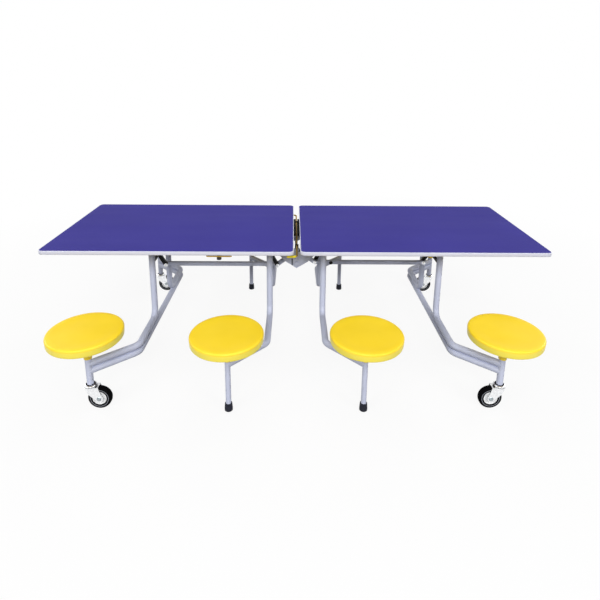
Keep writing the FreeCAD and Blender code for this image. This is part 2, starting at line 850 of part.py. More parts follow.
def hinge_plate(plate_y, upper_corners, holes):
    """Plate with a flange under the board, and the holes given as radius and height."""
    body = new_body("HingePlate")
    side = [
        ("-hinge_reach", "hinge_top"),
        ("-hinge_reach", "hinge_low"),
        ("-hinge_knee", "hinge_knee_height"),
        ("0", "hinge_apex"),
        ("hinge_nose", "hinge_nose_low"),
        ("hinge_nose", "hinge_nose_top"),
        *upper_corners,
        ("-half_gap", "hinge_shoulder"),
        ("-half_gap", "hinge_top"),
    ]
    extruded(body, "Pad", outline(body, "XZ_Plane", side), "hinge_plate")
    near, back = "-half_gap - hinge_flange_inset", "-hinge_plate / 2 - hinge_flange"
    flange = rectangle("-hinge_reach", back, near, "hinge_plate / 2")
    extruded(body, "Pad", outline(body, "XY_Plane", flange, "hinge_top"), "hinge_plate", symmetric=False)
    for radius, height in holes:
        bore = circles(body, "XZ_Plane", radius, [("0", height)])
        extruded(body, "Pocket", bore, "hinge_plate + overrun")
    middle = f"{plate_y} + hinge_plate / 2"
    screw_y = f"{middle} - hinge_screw_y"
    spots = [("-hinge_screw_near", screw_y), ("-hinge_screw_far", screw_y)]
    drilled = circles(body, "XY_Plane", "screw_hole_radius", spots, "hinge_top")
    extruded(body, "Pocket", drilled, "4 * hinge_plate")
    return put(body, y=f"-({middle})")


shaft_bore = ("shaft_hole_radius", "hinge_height")
rod_tab = [
    ("rod_eye_radius", "hinge_shoulder"),
    ("rod_eye_radius", "rod_eye_top"),
    ("-rod_eye_radius", "rod_eye_top"),
    ("-rod_eye_radius", "hinge_shoulder"),
]
left_plate = hinge_plate("left_plate_y", rod_tab, [shaft_bore, ("rod_hole_radius", "rod_height")])
right_plate = hinge_plate("right_plate_y", [("-rod_radius - side_gap", "hinge_nose_top")], [shaft_bore])
hinge_shaft = headed_pin(
    "shaft_radius", "shaft_half", "hinge_head_diameter / 2", "hinge_head_height", "0", "0", "hinge_height"
)
keep(front_and_rear(left_plate), "left_hinge_plates")
keep(mirrored(front_and_rear(right_plate), ACROSS_X), "right_hinge_plates")
keep(hinge_shaft, "hinge_shaft")

# Release rod: runs along the gap in the left plates and turns under the left half at both ends
rod_end = "half_width - rod_end_inset"
rod_corners = [
    point("-rod_arm", f"-({rod_end})", "rod_height"),
    point("0", f"-({rod_end})", "rod_height"),
    point("0", rod_end, "rod_height"),
    point("-rod_arm", rod_end, "rod_height"),
]
keep(solid_shape(bent_rod(rod_corners, value("rod_radius"), value("rod_bend_radius"))), "release_rod")

# Storage latch: a turning bar on a post under the left half


def latch_base():
    body = turned(new_body("LatchBase"), [
        ("latch_bore_radius", "latch_bar_top + seat_gap"),
        ("latch_base_diameter / 2", "latch_bar_top + seat_gap"),
        ("latch_base_diameter / 2", "underside - latch_flange_height"),
        ("latch_flange_diameter / 2", "underside - latch_flange_height"),
        ("latch_flange_diameter / 2", "underside"),
        ("latch_bore_radius", "underside"),
    ])
    return put(body, "-latch_x", "-latch_y")


def latch_bar():
    body = new_body("LatchBar")
    bevel = "latch_half - latch_side"
    plan = [
        (f"-({bevel})", "-latch_side"), (bevel, "-latch_side"), ("latch_half", "-latch_side / 2"),
        ("latch_half", "latch_side / 2"), (bevel, "latch_side"), (f"-({bevel})", "latch_side"),
        ("-latch_half", "latch_side / 2"), ("-latch_half", "-latch_side / 2"),
    ]
    sketch = outline(body, "XY_Plane", plan, "-latch_bar_thickness")
    extruded(body, "Pad", sketch, "latch_bar_thickness", symmetric=False)
    knob = "latch_bar_thickness + latch_knob_height"
    turned(body, [
        ("0", f"-({knob})"),
        ("latch_knob_diameter / 2", f"-({knob})"),
        ("latch_knob_diameter / 2", "-latch_bar_thickness"),
        ("latch_spindle_radius", "-latch_bar_thickness"),
        ("latch_spindle_radius", "latch_spindle_length"),
        ("0", "latch_spindle_length"),
    ])
    return put(body, "-latch_x", "-latch_y", "latch_bar_top")


keep(latch_base(), "latch_base")
keep(latch_bar(), "latch_bar")

# Check every object, then write one file for each piece
doc.recompute()
failed = [thing.Label for thing in doc.Objects if {"Invalid", "Error"} & set(thing.State)]
failed += [label for label, thing in nodes.items() if thing.Shape.isNull() or not thing.Shape.isValid()]
if failed:
    raise RuntimeError(f"These objects did not build: {failed}")
os.makedirs("parts", exist_ok=True)
for label, thing in nodes.items():
    thing.Shape.exportStep(f"parts/{label}.step")
print(f"{len(nodes)} pieces written")
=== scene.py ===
"""Dresses the folding seat table: finishes, seats, casters, feet, fittings, bolts, grip, stage."""

import json
import math

import bmesh
import bpy
from bpy.props import FloatProperty, FloatVectorProperty, PointerProperty
from mathutils import Matrix, Vector

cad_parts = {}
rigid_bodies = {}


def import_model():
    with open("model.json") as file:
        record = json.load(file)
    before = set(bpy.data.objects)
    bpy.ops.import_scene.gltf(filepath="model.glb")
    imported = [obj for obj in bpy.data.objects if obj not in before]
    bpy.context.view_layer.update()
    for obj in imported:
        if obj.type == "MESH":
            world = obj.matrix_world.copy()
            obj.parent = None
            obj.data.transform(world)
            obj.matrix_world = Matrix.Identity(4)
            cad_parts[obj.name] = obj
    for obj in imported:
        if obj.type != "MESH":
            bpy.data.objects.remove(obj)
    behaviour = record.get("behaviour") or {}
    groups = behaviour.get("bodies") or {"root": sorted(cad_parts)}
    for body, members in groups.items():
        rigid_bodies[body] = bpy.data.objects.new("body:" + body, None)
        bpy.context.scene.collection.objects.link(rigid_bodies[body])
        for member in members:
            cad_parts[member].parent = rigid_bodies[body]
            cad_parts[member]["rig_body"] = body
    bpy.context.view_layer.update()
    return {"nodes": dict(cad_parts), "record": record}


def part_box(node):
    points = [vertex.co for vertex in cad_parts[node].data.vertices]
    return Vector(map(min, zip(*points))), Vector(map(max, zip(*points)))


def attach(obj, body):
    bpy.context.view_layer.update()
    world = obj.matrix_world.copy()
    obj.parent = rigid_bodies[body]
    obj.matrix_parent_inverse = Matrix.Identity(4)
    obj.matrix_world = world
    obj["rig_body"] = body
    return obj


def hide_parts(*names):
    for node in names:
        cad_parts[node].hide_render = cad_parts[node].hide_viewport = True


bl_info = {
    "name": "Folding seat table",
    "version": (1, 1, 0),
    "blender": (4, 5, 0),
    "location": "3D View > Sidebar > Seat table",
    "description": "Finishes, details and stage of a folding table with attached seats",
    "category": "Object",
}

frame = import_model()

SIDES = ("left", "right")
ENDS = ("front", "rear")
FRAMES = ("outer", "inner")
UPRIGHT = Vector((0, 0, 1))
FORWARD = Vector((0, -1, 0))
MM = 0.001
FULL_TURN = 2 * math.pi
QUARTER_TURN = math.pi / 2
SHARP_ANGLE = math.radians(40)
FLAT_ANGLE = math.radians(0.5)
SAME_SPOT = 1e-6
PAINT_SHEEN = 0.14


def cad_middle(node):
    low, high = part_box(node)
    return (low + high) / 2


def cad_size(node):
    low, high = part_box(node)
    return high - low


# Sizes and colours that a user would change


def colour_property(name, description, colour):
    return FloatVectorProperty(
        name=name, description=description, subtype="COLOR", size=3, min=0, max=1, default=colour
    )


def length_property(name, description, length):
    return FloatProperty(name=name, description=description, unit="LENGTH", min=0, default=length)


class TableColours(bpy.types.PropertyGroup):
    """Colours of the table's finishes."""

    laminate: colour_property("Laminate", "Blue sheet on the tabletop", (0.0425, 0.0365, 0.242))
    band: colour_property("Edge band", "Pale band round the tabletop", (0.65, 0.66, 0.76))
    tube: colour_property("Frame tube", "Silver paint on the tubes", (0.6, 0.635, 0.79))
    seat: colour_property("Seat", "Moulded plastic of the seats", (0.97, 0.682, 0.019))
    rubber: colour_property("Rubber", "Moulded rubber of the feet", (0.008, 0.009, 0.017))
    gold: colour_property("Yellow zinc", "Release rod and latch bar", (0.52, 0.34, 0.07))
    grip: colour_property("Grip", "Soft sleeve on the release rod", (0.95, 0.75, 0.02))


class TableSizes(bpy.types.PropertyGroup):
    """Sizes of the details that are added to the solids."""

    seat_lip: length_property("Seat lip", "Rounding of a seat's upper rim", 9 * MM)
    seat_skirt: length_property("Seat skirt", "Rounding of a seat's lower rim", 4.5 * MM)
    edge_ease: length_property("Eased edges", "Bevel on plates and bars", 0.7 * MM)
    bolt_head: length_property("Bolt heads", "Width across the flats of a bolt head", 13 * MM)
    fork_foot: length_property("Fork foot", "Rounding of a caster fork about its axle", 17 * MM)


class TableLook(bpy.types.PropertyGroup):
    """All settings of the table's look."""

    colours: PointerProperty(type=TableColours)
    sizes: PointerProperty(type=TableSizes)


# Shader expressions


class Thread:
    """A shader socket whose operators add Math nodes to its tree."""

    def __init__(self, tree, socket=None):
        self.tree = tree
        self.socket = socket

    def node(self, kind, settings, sockets, output=0):
        """Add a node with its settings, feed its sockets and give one of its outputs."""
        made = self.tree.nodes.new(kind)
        for name, setting in settings.items():
            setattr(made, name, setting)
        for name, feed in sockets.items():
            if isinstance(feed, Thread):
                self.tree.links.new(feed.socket, made.inputs[name])
            else:
                made.inputs[name].default_value = feed
        return Thread(self.tree, made.outputs[output])

    def math(self, operation, first, second):
        return self.node("ShaderNodeMath", {"operation": operation}, {0: first, 1: second})

    def __add__(self, other):
        return self.math("ADD", self, other)

    def __rsub__(self, other):
        return self.math("SUBTRACT", other, self)

    def __mul__(self, other):
        return self.math("MULTIPLY", self, other)

    def __gt__(self, other):
        return self.math("GREATER_THAN", self, other)

    def __lt__(self, other):
        return self.math("LESS_THAN", self, other)

    __radd__ = __add__
    __rmul__ = __mul__


def shade(colour, factor):
    return tuple(min(1.0, channel * factor) for channel in colour)


class Finish:
    """A material on a Principled shader that reads Object coordinates."""

    def __init__(self, name, **constants):
        self.material = bpy.data.materials.new(name)
        self.material.use_nodes = True
        self.tree = self.material.node_tree
        self.shader = self.tree.nodes["Principled BSDF"]
        for socket, number in constants.items():
            self.shader.inputs[socket.replace("_", " ")].default_value = number
        self.place = Thread(self.tree).node("ShaderNodeTexCoord", {}, {}, "Object")

    def axes(self):
        """The three Object coordinates."""
        made = self.place.node("ShaderNodeSeparateXYZ", {}, {"Vector": self.place}).socket.node
        return [Thread(self.tree, made.outputs[axis]) for axis in "XYZ"]

    def noise(self, scale, detail=2.0):
        sockets = {"Vector": self.place, "Scale": scale, "Detail": detail}
        return self.place.node("ShaderNodeTexNoise", {}, sockets, "Fac")

    def stretched_noise(self, scale, stretch, detail):
        """Noise drawn out along an axis, as wiping marks and scuffs are."""
        sockets = {"Vector": self.place, "Scale": stretch}
        mapped = self.place.node("ShaderNodeMapping", {}, sockets, "Vector")
        sockets = {"Vector": mapped, "Scale": scale, "Detail": detail}
        return self.place.node("ShaderNodeTexNoise", {}, sockets, "Fac")

    def window(self, value, low, high):
        """Value spread from 0 at low to 1 at high, and held there."""
        sockets = {"Value": value, "From Min": low, "From Max": high}
        return self.place.node("ShaderNodeMapRange", {"clamp": True}, sockets, "Result")

    def cloud(self, scale, detail, low, high):
        """Noise whose middle tones are spread to a mask from 0 to 1."""
        return self.window(self.noise(scale, detail), low, high)

    def blend(self, mask, first, second):
        """Mix two colours, given as colours or threads, by a mask."""
        first, second = (
            feed if isinstance(feed, Thread) else (*feed, 1.0) for feed in (first, second)
        )
        sockets = {0: mask, 6: first, 7: second}
        return self.place.node("ShaderNodeMix", {"data_type": "RGBA"}, sockets, 2)

    def drift(self, mask, colour, first, second):
        """Mix two tones of one colour by a mask."""
        return self.blend(mask, shade(colour, first), shade(colour, second))

    def feed(self, socket, thread):
        self.tree.links.new(thread.socket, self.shader.inputs[socket])

    def bump(self, height, strength, distance):
        sockets = {"Height": height, "Strength": strength, "Distance": distance}
        self.feed("Normal", self.place.node("ShaderNodeBump", {}, sockets, "Normal"))


def laminate_finish(colour):
    """Satin decor laminate with a fine pebble and faint wiping marks."""
    finish = Finish("blue_laminate", Specular_IOR_Level=0.04)
    cloud = finish.cloud(scale=2.5, detail=3.0, low=0.3, high=0.7)
    finish.feed("Base Color", finish.drift(cloud, colour, 0.95, 1.06))
    wiped = finish.stretched_noise(scale=9.0, stretch=(0.15, 1.0, 1.0), detail=4.0)
    finish.feed("Roughness", 0.46 + 0.14 * wiped)
    finish.bump(finish.noise(scale=900.0, detail=1.0), strength=0.08, distance=0.2 * MM)
    return finish.material


def band_finish(colour):
    """Smooth vinyl edge with a few scuffs, and painted shade that makes it greyer towards its lower
    side.
    """
    finish = Finish("white_edge_vinyl", Specular_IOR_Level=0.2)
    low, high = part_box("left_edge_band")
    _, _, z = finish.axes()
    # Painted shade: the band darkens towards its lower edge, where shade falls under it.
    lower = 1 - finish.window(z, low.z, low.z + 0.6 * (high.z - low.z))
    marks = finish.stretched_noise(scale=45.0, stretch=(0.06, 0.06, 1.0), detail=3.0)
    scuffs = finish.window(marks, 0.66, 0.8)
    upper_tone = finish.drift(scuffs, colour, 1.0, 0.93)
    finish.feed("Base Color", finish.blend(lower, upper_tone, shade(colour, 0.76)))
    finish.feed("Roughness", 0.38 + 0.2 * scuffs)
    finish.bump(finish.noise(scale=350.0), strength=0.1, distance=0.2 * MM)
    return finish.material


def board_finish():
    """Particle board with pale and dark chips."""
    finish = Finish("particle_board", Specular_IOR_Level=0.1)
    sockets = {"Vector": finish.place, "Scale": 260.0}
    chips = finish.place.node("ShaderNodeTexVoronoi", {"feature": "F1"}, sockets, "Distance")
    grain = finish.noise(scale=120.0, detail=4.0)
    dark = finish.window(chips + 0.6 * grain, 0.45, 0.95)
    finish.feed("Base Color", finish.blend(dark, (0.36, 0.27, 0.17), (0.17, 0.12, 0.07)))
    finish.feed("Roughness", 0.7 + 0.15 * grain)
    finish.bump(chips, strength=0.25, distance=0.3 * MM)
    return finish.material


def paint_on(finish, colour, rough):
    """Sprayed paint with a little orange peel and a settled tone, as a colour thread."""
    finish.feed("Roughness", rough + 0.1 * finish.noise(scale=40.0, detail=3.0))
    finish.bump(finish.noise(scale=420.0, detail=1.0), strength=0.12, distance=0.15 * MM)
    tone = finish.cloud(scale=7.0, detail=3.0, low=0.3, high=0.7)
    return finish.drift(tone, colour, 0.94, 1.05)


def paint_finish(name, colour, rough):
    finish = Finish(name, Specular_IOR_Level=PAINT_SHEEN)
    finish.feed("Base Color", paint_on(finish, colour, rough))
    return finish.material


def plate_finish(side, colour):
    """Grey hinge plates with the release rod's black guides and a line of painted shade in the
    joint's crease.
    """
    finish = Finish(f"{side}_hinge_grey", Specular_IOR_Level=PAINT_SHEEN)
    _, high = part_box(f"{side}_hinge_plates")
    x, _, z = finish.axes()
    # Painted shade: a dark line is painted low in the joint, in the crease by the right plate's
    # nose.
    joint = z < high.z - 96 * MM
    if side == "left":
        guide = (x > -10 * MM) * (z > high.z - 41 * MM)
        painted_crease_shade = (x > -26 * MM) * (x < -21 * MM) * joint
    else:
        guide = (x < 17 * MM) * (z > high.z - 58 * MM)
        painted_crease_shade = (x < -20 * MM) * joint
    painted = finish.blend(painted_crease_shade, paint_on(finish, colour, rough=0.36), shade(colour, 0.16))
    finish.feed("Base Color", finish.blend(guide, painted, (0.006, 0.006, 0.007)))
    return finish.material


def zinc_finish(name, colour, rough):
    """Bright plated steel with a cloudy plating and fine drawing marks."""
    finish = Finish(name, Metallic=1.0)
    cloud = finish.cloud(scale=90.0, detail=4.0, low=0.35, high=0.7)
    finish.feed("Base Color", finish.drift(cloud, colour, 0.88, 1.05))
    finish.feed("Roughness", rough + 0.14 * finish.noise(scale=260.0, detail=3.0))
    finish.bump(finish.noise(scale=700.0), strength=0.08, distance=0.1 * MM)
    return finish.material


def rubber_finish(name, colour, sheen):
    """Soft moulding with a dusty bloom."""
    finish = Finish(name, Specular_IOR_Level=sheen)
    bloom = finish.cloud(scale=55.0, detail=4.0, low=0.4, high=0.8)
    finish.feed("Base Color", finish.drift(bloom, colour, 1.0, 1.7))
    finish.feed("Roughness", 0.48 + 0.22 * bloom)
    finish.bump(finish.noise(scale=600.0), strength=0.2, distance=0.15 * MM)
    return finish.material


def seat_finish(colour):
    """Glossy moulded plastic with a soft flow pattern, a fine grain and a painted highlight that
    makes the skirt paler.
    """
    finish = Finish("yellow_moulding", Specular_IOR_Level=0.36)
    _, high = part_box("left_outer_front_seat")
    _, green, blue = colour
    _, _, z = finish.axes()
    # Painted highlight: the skirt below the lip is paler, as light falls on it from the front and
    # the floor.
    skirt_foot, fade_low, fade_high = (high.z - depth * MM for depth in (39, 14, 5))
    skirt = (z > skirt_foot) * (1 - finish.window(z, fade_low, fade_high))
    flow = finish.cloud(scale=6.0, detail=2.0, low=0.3, high=0.7)
    top = finish.blend(flow, shade(colour, 0.97), (1.0, green * 1.05, blue * 1.6))
    finish.feed("Base Color", finish.blend(skirt, top, (1.0, green * 1.22, blue * 5.4)))
    finish.feed("Roughness", 0.33 + 0.12 * finish.noise(scale=30.0, detail=3.0))
    finish.bump(finish.noise(scale=750.0), strength=0.12, distance=0.2 * MM)
    return finish.material


def plating_on(finish, colour):
    """Yellow zinc plating with a cloudy tone, as a colour thread."""
    cloud = finish.cloud(scale=110.0, detail=3.0, low=0.35, high=0.7)
    finish.feed("Roughness", 0.36 + 0.12 * cloud)
    finish.bump(finish.noise(scale=500.0), strength=0.08, distance=0.1 * MM)
    return finish.drift(cloud, colour, 0.75, 1.1)


def rod_finish(colour):
    finish = Finish("release_rod_zinc", Metallic=1.0)
    finish.feed("Base Color", plating_on(finish, colour))
    return finish.material


def latch_finish(colour):
    """Yellow zinc bar with a black plastic knob below it."""
    finish = Finish("latch_bar_zinc")
    low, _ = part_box("latch_bar")
    _, _, z = finish.axes()
    knob = z < low.z + 16 * MM
    plated = plating_on(finish, colour)
    finish.feed("Base Color", finish.blend(knob, plated, (0.012, 0.012, 0.014)))
    finish.feed("Metallic", 1 - knob)
    return finish.material


FINISHES = {}


def finish_of(look):
    """Material of a slot in the record or of a special look, made when it is first asked for."""
    if look not in FINISHES:
        colours = bpy.context.scene.table_look.colours
        plate = shade(colours.tube, 0.85)
        makers = {
            "core": board_finish,
            "laminate": lambda: laminate_finish(colours.laminate),
            "edge_band": lambda: band_finish(colours.band),
            "bracket_steel": lambda: paint_finish("bracket_grey", plate, rough=0.36),
            "left_plate": lambda: plate_finish("left", plate),
            "right_plate": lambda: plate_finish("right", plate),
            "fastener": lambda: zinc_finish("fastener_zinc", (0.85, 0.86, 0.88), rough=0.2),
            "rubber": lambda: rubber_finish("moulded_rubber", colours.rubber, sheen=0.2),
            "tube": lambda: paint_finish("silver_paint", colours.tube, rough=0.3),
            "black_steel": lambda: paint_finish("black_paint", (0.008, 0.008, 0.01), rough=0.4),
            "seat": lambda: seat_finish(colours.seat),
            "caster_zinc": lambda: zinc_finish("caster_zinc", (0.93, 0.94, 0.96), rough=0.12),
            "axle_zinc": lambda: zinc_finish("axle_zinc", (0.42, 0.46, 0.48), rough=0.3),
            "wheel_hub": lambda: paint_finish("hub_plastic", (0.86, 0.87, 0.88), rough=0.35),
            "tyre": lambda: rubber_finish("tyre_rubber", (0.0025, 0.0025, 0.003), sheen=0.01),
            "tyre_ring": lambda: paint_finish("tyre_ring_grey", (0.22, 0.23, 0.26), rough=0.45),
            "yellow_steel": lambda: rod_finish(colours.gold),
            "grip": lambda: rubber_finish("yellow_vinyl", colours.grip, sheen=0.3),
            "latch_gold": lambda: latch_finish(colours.gold),
        }
        FINISHES[look] = makers[look]()
    return FINISHES[look]


# Mesh helpers


def millimetres(points, around=0, up=0):
    """Points given in mm from a radius and a height, as points in m."""
    return [(around + across * MM, up + rise * MM) for across, rise in points]


def mirrored(profile):
    """A wheel's (radius, width) points on one side, followed by those on the other."""
    return profile + [(around, -along) for around, along in reversed(profile)]


def spun(bm, profile, steps, closed=False):
    """Spin a run of (radius, height) points about the upright axis."""
    verts = [bm.verts.new((radius, 0, height)) for radius, height in profile]
    pairs = list(zip(verts, verts[1:]))
    if closed:
        pairs.append((verts[-1], verts[0]))
    edges = [bm.edges.new(pair) for pair in pairs]
    bmesh.ops.spin(
        bm, geom=verts + edges, cent=(0, 0, 0), axis=UPRIGHT, angle=FULL_TURN, steps=steps,
        use_merge=True,
    )
    bmesh.ops.remove_doubles(bm, verts=bm.verts, dist=SAME_SPOT)


def ring(bm, radius, height):
    """Edges that run round the upright axis at a radius and height."""
    reach = 0.01 * MM

    def on_ring(vert):
        return abs(vert.co.xy.length - radius) < reach and abs(vert.co.z - height) < reach

    return [edge for edge in bm.edges if all(on_ring(vert) for vert in edge.verts)]


def ease(bm, edges, width, segments=2):
    bmesh.ops.bevel(
        bm, geom=edges, offset=width, offset_type="OFFSET", affect="EDGES", segments=segments,
        profile=0.5, material=-1, clamp_overlap=True,
    )


def ease_sharp(bm, width):
    """Bevel every edge where two faces meet at more than a slight angle."""
    edges = [edge for edge in bm.edges if edge.is_manifold]
    ease(bm, [edge for edge in edges if edge.calc_face_angle() > SHARP_ANGLE], width)


def prism(bm, outline, start, end):
    """Sweep an outline of (x, z) points along Y and give its vertices."""
    base = [bm.verts.new((x, start, z)) for x, z in outline]
    swept = bmesh.ops.extrude_face_region(bm, geom=[bm.faces.new(base)])
    lifted = [item for item in swept["geom"] if isinstance(item, bmesh.types.BMVert)]
    bmesh.ops.translate(bm, verts=lifted, vec=(0, end - start, 0))
    return base + lifted


def drum(bm, spot, axis, radius, height, sides=32):
    """Add a closed cylinder, or a prism of few sides, that stands on a spot along an axis."""
    turn = UPRIGHT.rotation_difference(axis).to_matrix().to_4x4()
    bmesh.ops.create_cone(
        bm, cap_ends=True, segments=sides, radius1=radius, radius2=radius, depth=height,
        matrix=Matrix.Translation(spot + axis * height / 2) @ turn,
    )


def bolt_head(bm, spot, axis, across):
    """Add a washer and a hexagon head that stand on a face."""
    washer, washer_radius = 0.1 * across, 0.8 * across
    head, corner_radius = 0.3 * across, across / math.sqrt(3)
    drum(bm, spot, axis, washer_radius, washer)
    drum(bm, spot + axis * washer, axis, corner_radius, head, sides=6)


def quarter_turned(bm, axis):
    """Turn all of a bmesh by a quarter about an axis through the origin."""
    turn = Matrix.Rotation(QUARTER_TURN, 3, axis)
    bmesh.ops.rotate(bm, verts=bm.verts, cent=(0, 0, 0), matrix=turn)


def as_piece(bm, name, slot, body, replaced=(), look=None):
    """Make a dressed object of a bmesh that rides on a body in place of CAD nodes."""
    bmesh.ops.recalc_face_normals(bm, faces=bm.faces)
    mesh = bpy.data.meshes.new(name)
    bm.to_mesh(mesh)
    bm.free()
    mesh.shade_smooth()
    mesh.set_sharp_from_angle(angle=SHARP_ANGLE)
    mesh.materials.append(finish_of(look or slot))
    piece = bpy.data.objects.new(name, mesh)
    bpy.context.scene.collection.objects.link(piece)
    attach(piece, body)
    if replaced:
        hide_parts(*replaced)
    return piece


def repaint(piece, look, chosen):
    """Give another finish to those faces of a piece that a test picks."""
    piece.data.materials.append(finish_of(look))
    for face in piece.data.polygons:
        if chosen(face):
            face.material_index = len(piece.data.materials) - 1


# Operators


class TABLE_OT_finishes(bpy.types.Operator):
    """Give every CAD node the finish of its material slot, and the edge strips that of the tyres"""

    bl_idname = "table.finishes"
    bl_label = "Finishes"

    def execute(self, context):
        for subpart in frame["record"]["subparts"]:
            name, look = subpart["node"], subpart["material_slot"]
            if name.endswith("edge_bumper"):
                look = "tyre"
            frame["nodes"][name].data.materials[0] = finish_of(look)
        return {"FINISHED"}


class TABLE_OT_seats(bpy.types.Operator):
    """Mould the round seats with a shallow dish, a skirt, ribs and a hub"""

    bl_idname = "table.seats"
    bl_label = "Seats"

    # Heights are taken from the top of a seat
    roof = -8.5 * MM
    rim = -38 * MM
    wall = 5 * MM
    draft = 2.5 * MM
    bore = 9.1 * MM
    dish_depth = 3.5 * MM
    # Shares of the seat's radius and of the dish's depth
    dish = ((0, 1), (0.3, 1), (0.55, 0.97), (0.7, 0.7), (0.8, 0.25), (0.86, 0))
    # Radius in mm, with the height in mm from the roof or from the hub's end
    hub_root = ((34, 0), (31, -4))
    hub_end = ((20, 14), (19, 12), (18, 0))
    ribs = 8
    rib_root = 14 * MM
    rib_half = 2 * MM
    rib_bite = 2 * MM
    rib_lift = 6 * MM
    steps = 96

    def execute(self, context):
        for side in SIDES:
            for place in FRAMES:
                for end in ENDS:
                    self.mould(f"{side}_{place}_{end}_seat", context.scene.table_look.sizes)
        return {"FINISHED"}

    def mould(self, node, sizes):
        low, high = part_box(node)
        middle = (low + high) / 2
        radius, hub = (high.x - low.x) / 2, low.z - high.z
        skirt = radius - self.draft
        inner = skirt - self.wall
        bm = bmesh.new()
        spun(bm, [
            *((share * radius, -depth * self.dish_depth) for share, depth in self.dish),
            (radius, 0), (skirt, self.rim), (inner, self.rim), (inner, self.roof),
            *millimetres(self.hub_root, up=self.roof), *millimetres(self.hub_end, up=hub),
            (self.bore, hub), (self.bore, self.roof), (0, self.roof),
        ], self.steps)
        ease(bm, ring(bm, radius, 0), sizes.seat_lip, segments=8)
        ease(bm, ring(bm, skirt, self.rim), sizes.seat_skirt, segments=4)
        self.add_ribs(bm, skirt - self.wall / 2, hub)
        bmesh.ops.translate(bm, verts=bm.verts, vec=(middle.x, middle.y, high.z))
        as_piece(bm, f"{node}_moulding", "seat", node, [node])

    def add_ribs(self, bm, reach, hub):
        """Add one rib from the hub to the skirt and spin copies of it."""
        top = self.roof + self.rib_bite
        outline = [
            (self.rib_root, top), (reach, top), (reach, self.rim + self.rib_lift),
            (self.rib_root, (hub + self.roof) / 2),
        ]
        verts = prism(bm, outline, -self.rib_half, self.rib_half)
        corners = set(verts)
        edges = [edge for edge in bm.edges if corners.issuperset(edge.verts)]
        faces = [face for face in bm.faces if corners.issuperset(face.verts)]
        copies = self.ribs - 1
        bmesh.ops.spin(
            bm, geom=verts + edges + faces, cent=(0, 0, 0), axis=UPRIGHT,
            angle=FULL_TURN * copies / self.ribs, steps=copies, use_duplicate=True,
        )


